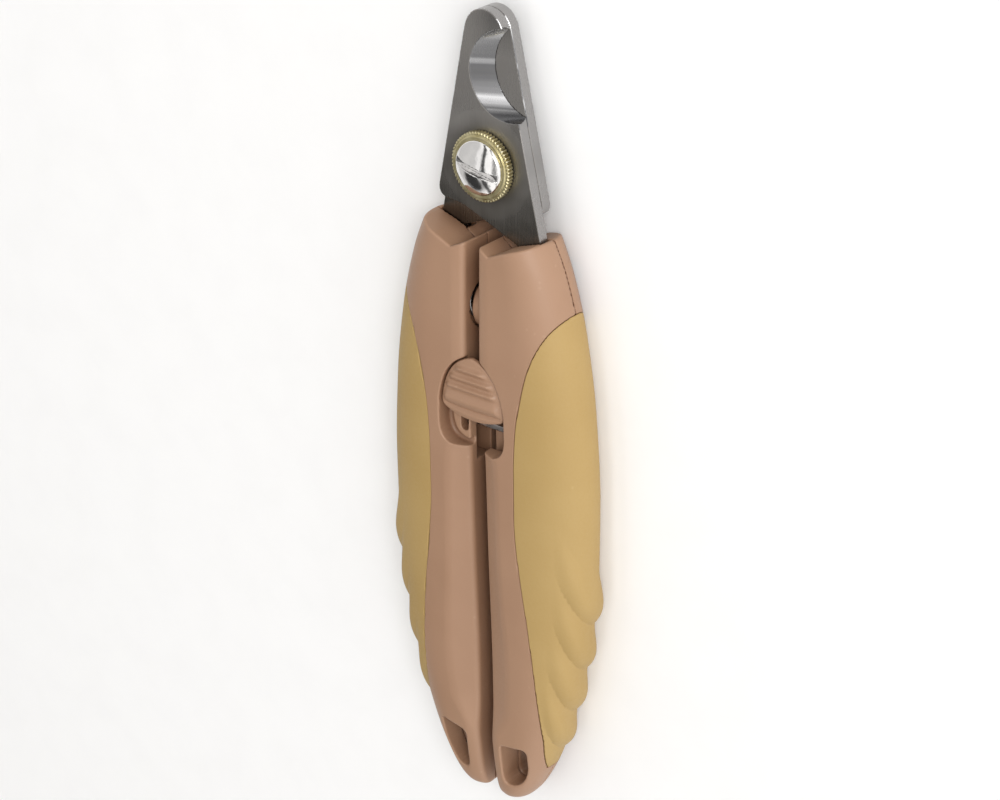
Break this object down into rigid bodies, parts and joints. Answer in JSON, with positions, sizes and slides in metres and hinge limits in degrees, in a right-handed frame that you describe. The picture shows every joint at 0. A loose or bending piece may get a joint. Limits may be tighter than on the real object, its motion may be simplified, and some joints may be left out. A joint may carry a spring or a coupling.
{
  "type": "pet nail trimmer",
  "caption": "Plier-type pet nail trimmer with two notched steel blades on one pivot, wrapped soft grips, an opening spring and a sliding lock.",
  "frame": {"origin": "bottom centre of the closed trimmer lying on the backs of its handles", "axes": "+Y along the trimmer towards the blade tip, +X towards the right handle, +Z out of the front face, where the lock and the pivot's nut are"},
  "size_m": [0.0466, 0.16, 0.014],
  "materials": {
    "handle_plastic": "fine satin moulding",
    "soft_grip": "matte soft-touch elastomer",
    "blade_steel": "dark satin faces with bright ground edges",
    "bright_steel": "plain bright steel",
    "screw_chrome": "mirror plating",
    "nut_brass": "bright knurled brass"
  },
  "bodies": {
    "left_lever": {"rear_blade": "blade_steel", "pivot_bolt": "bright_steel", "knurled_nut": "nut_brass", "dome_screw": "screw_chrome", "left_front_shell": "handle_plastic", "left_rear_shell": "handle_plastic", "left_grip": "soft_grip", "left_spring_socket": "handle_plastic", "left_tang_pin": "bright_steel", "left_upper_screw": "bright_steel", "left_lower_screw": "bright_steel", "handle_spring": "bright_steel", "lock_detent_spring": "bright_steel"},
    "lock": {"lock_button": "handle_plastic", "lock_hook": "bright_steel", "lock_push_nut": "bright_steel"},
    "right_lever": {"front_blade": "blade_steel", "catch_pin": "bright_steel", "right_front_shell": "handle_plastic", "right_rear_shell": "handle_plastic", "right_grip": "soft_grip", "right_spring_cup": "handle_plastic", "right_tang_pin": "bright_steel", "right_upper_screw": "bright_steel", "right_lower_screw": "bright_steel"}
  },
  "joints": [
    {"name": "handle_open", "type": "hinge", "parent": "left_lever", "child": "right_lever", "pos_m": [0, 0.05177, 0.006], "axis": [0, 0, 1], "range_deg": [0, 28], "deforming": ["handle_spring"]},
    {"name": "lock_slide", "type": "slide", "parent": "left_lever", "child": "lock", "axis": [0, -1, 0], "range_m": [0, 0.005]}
  ]
}
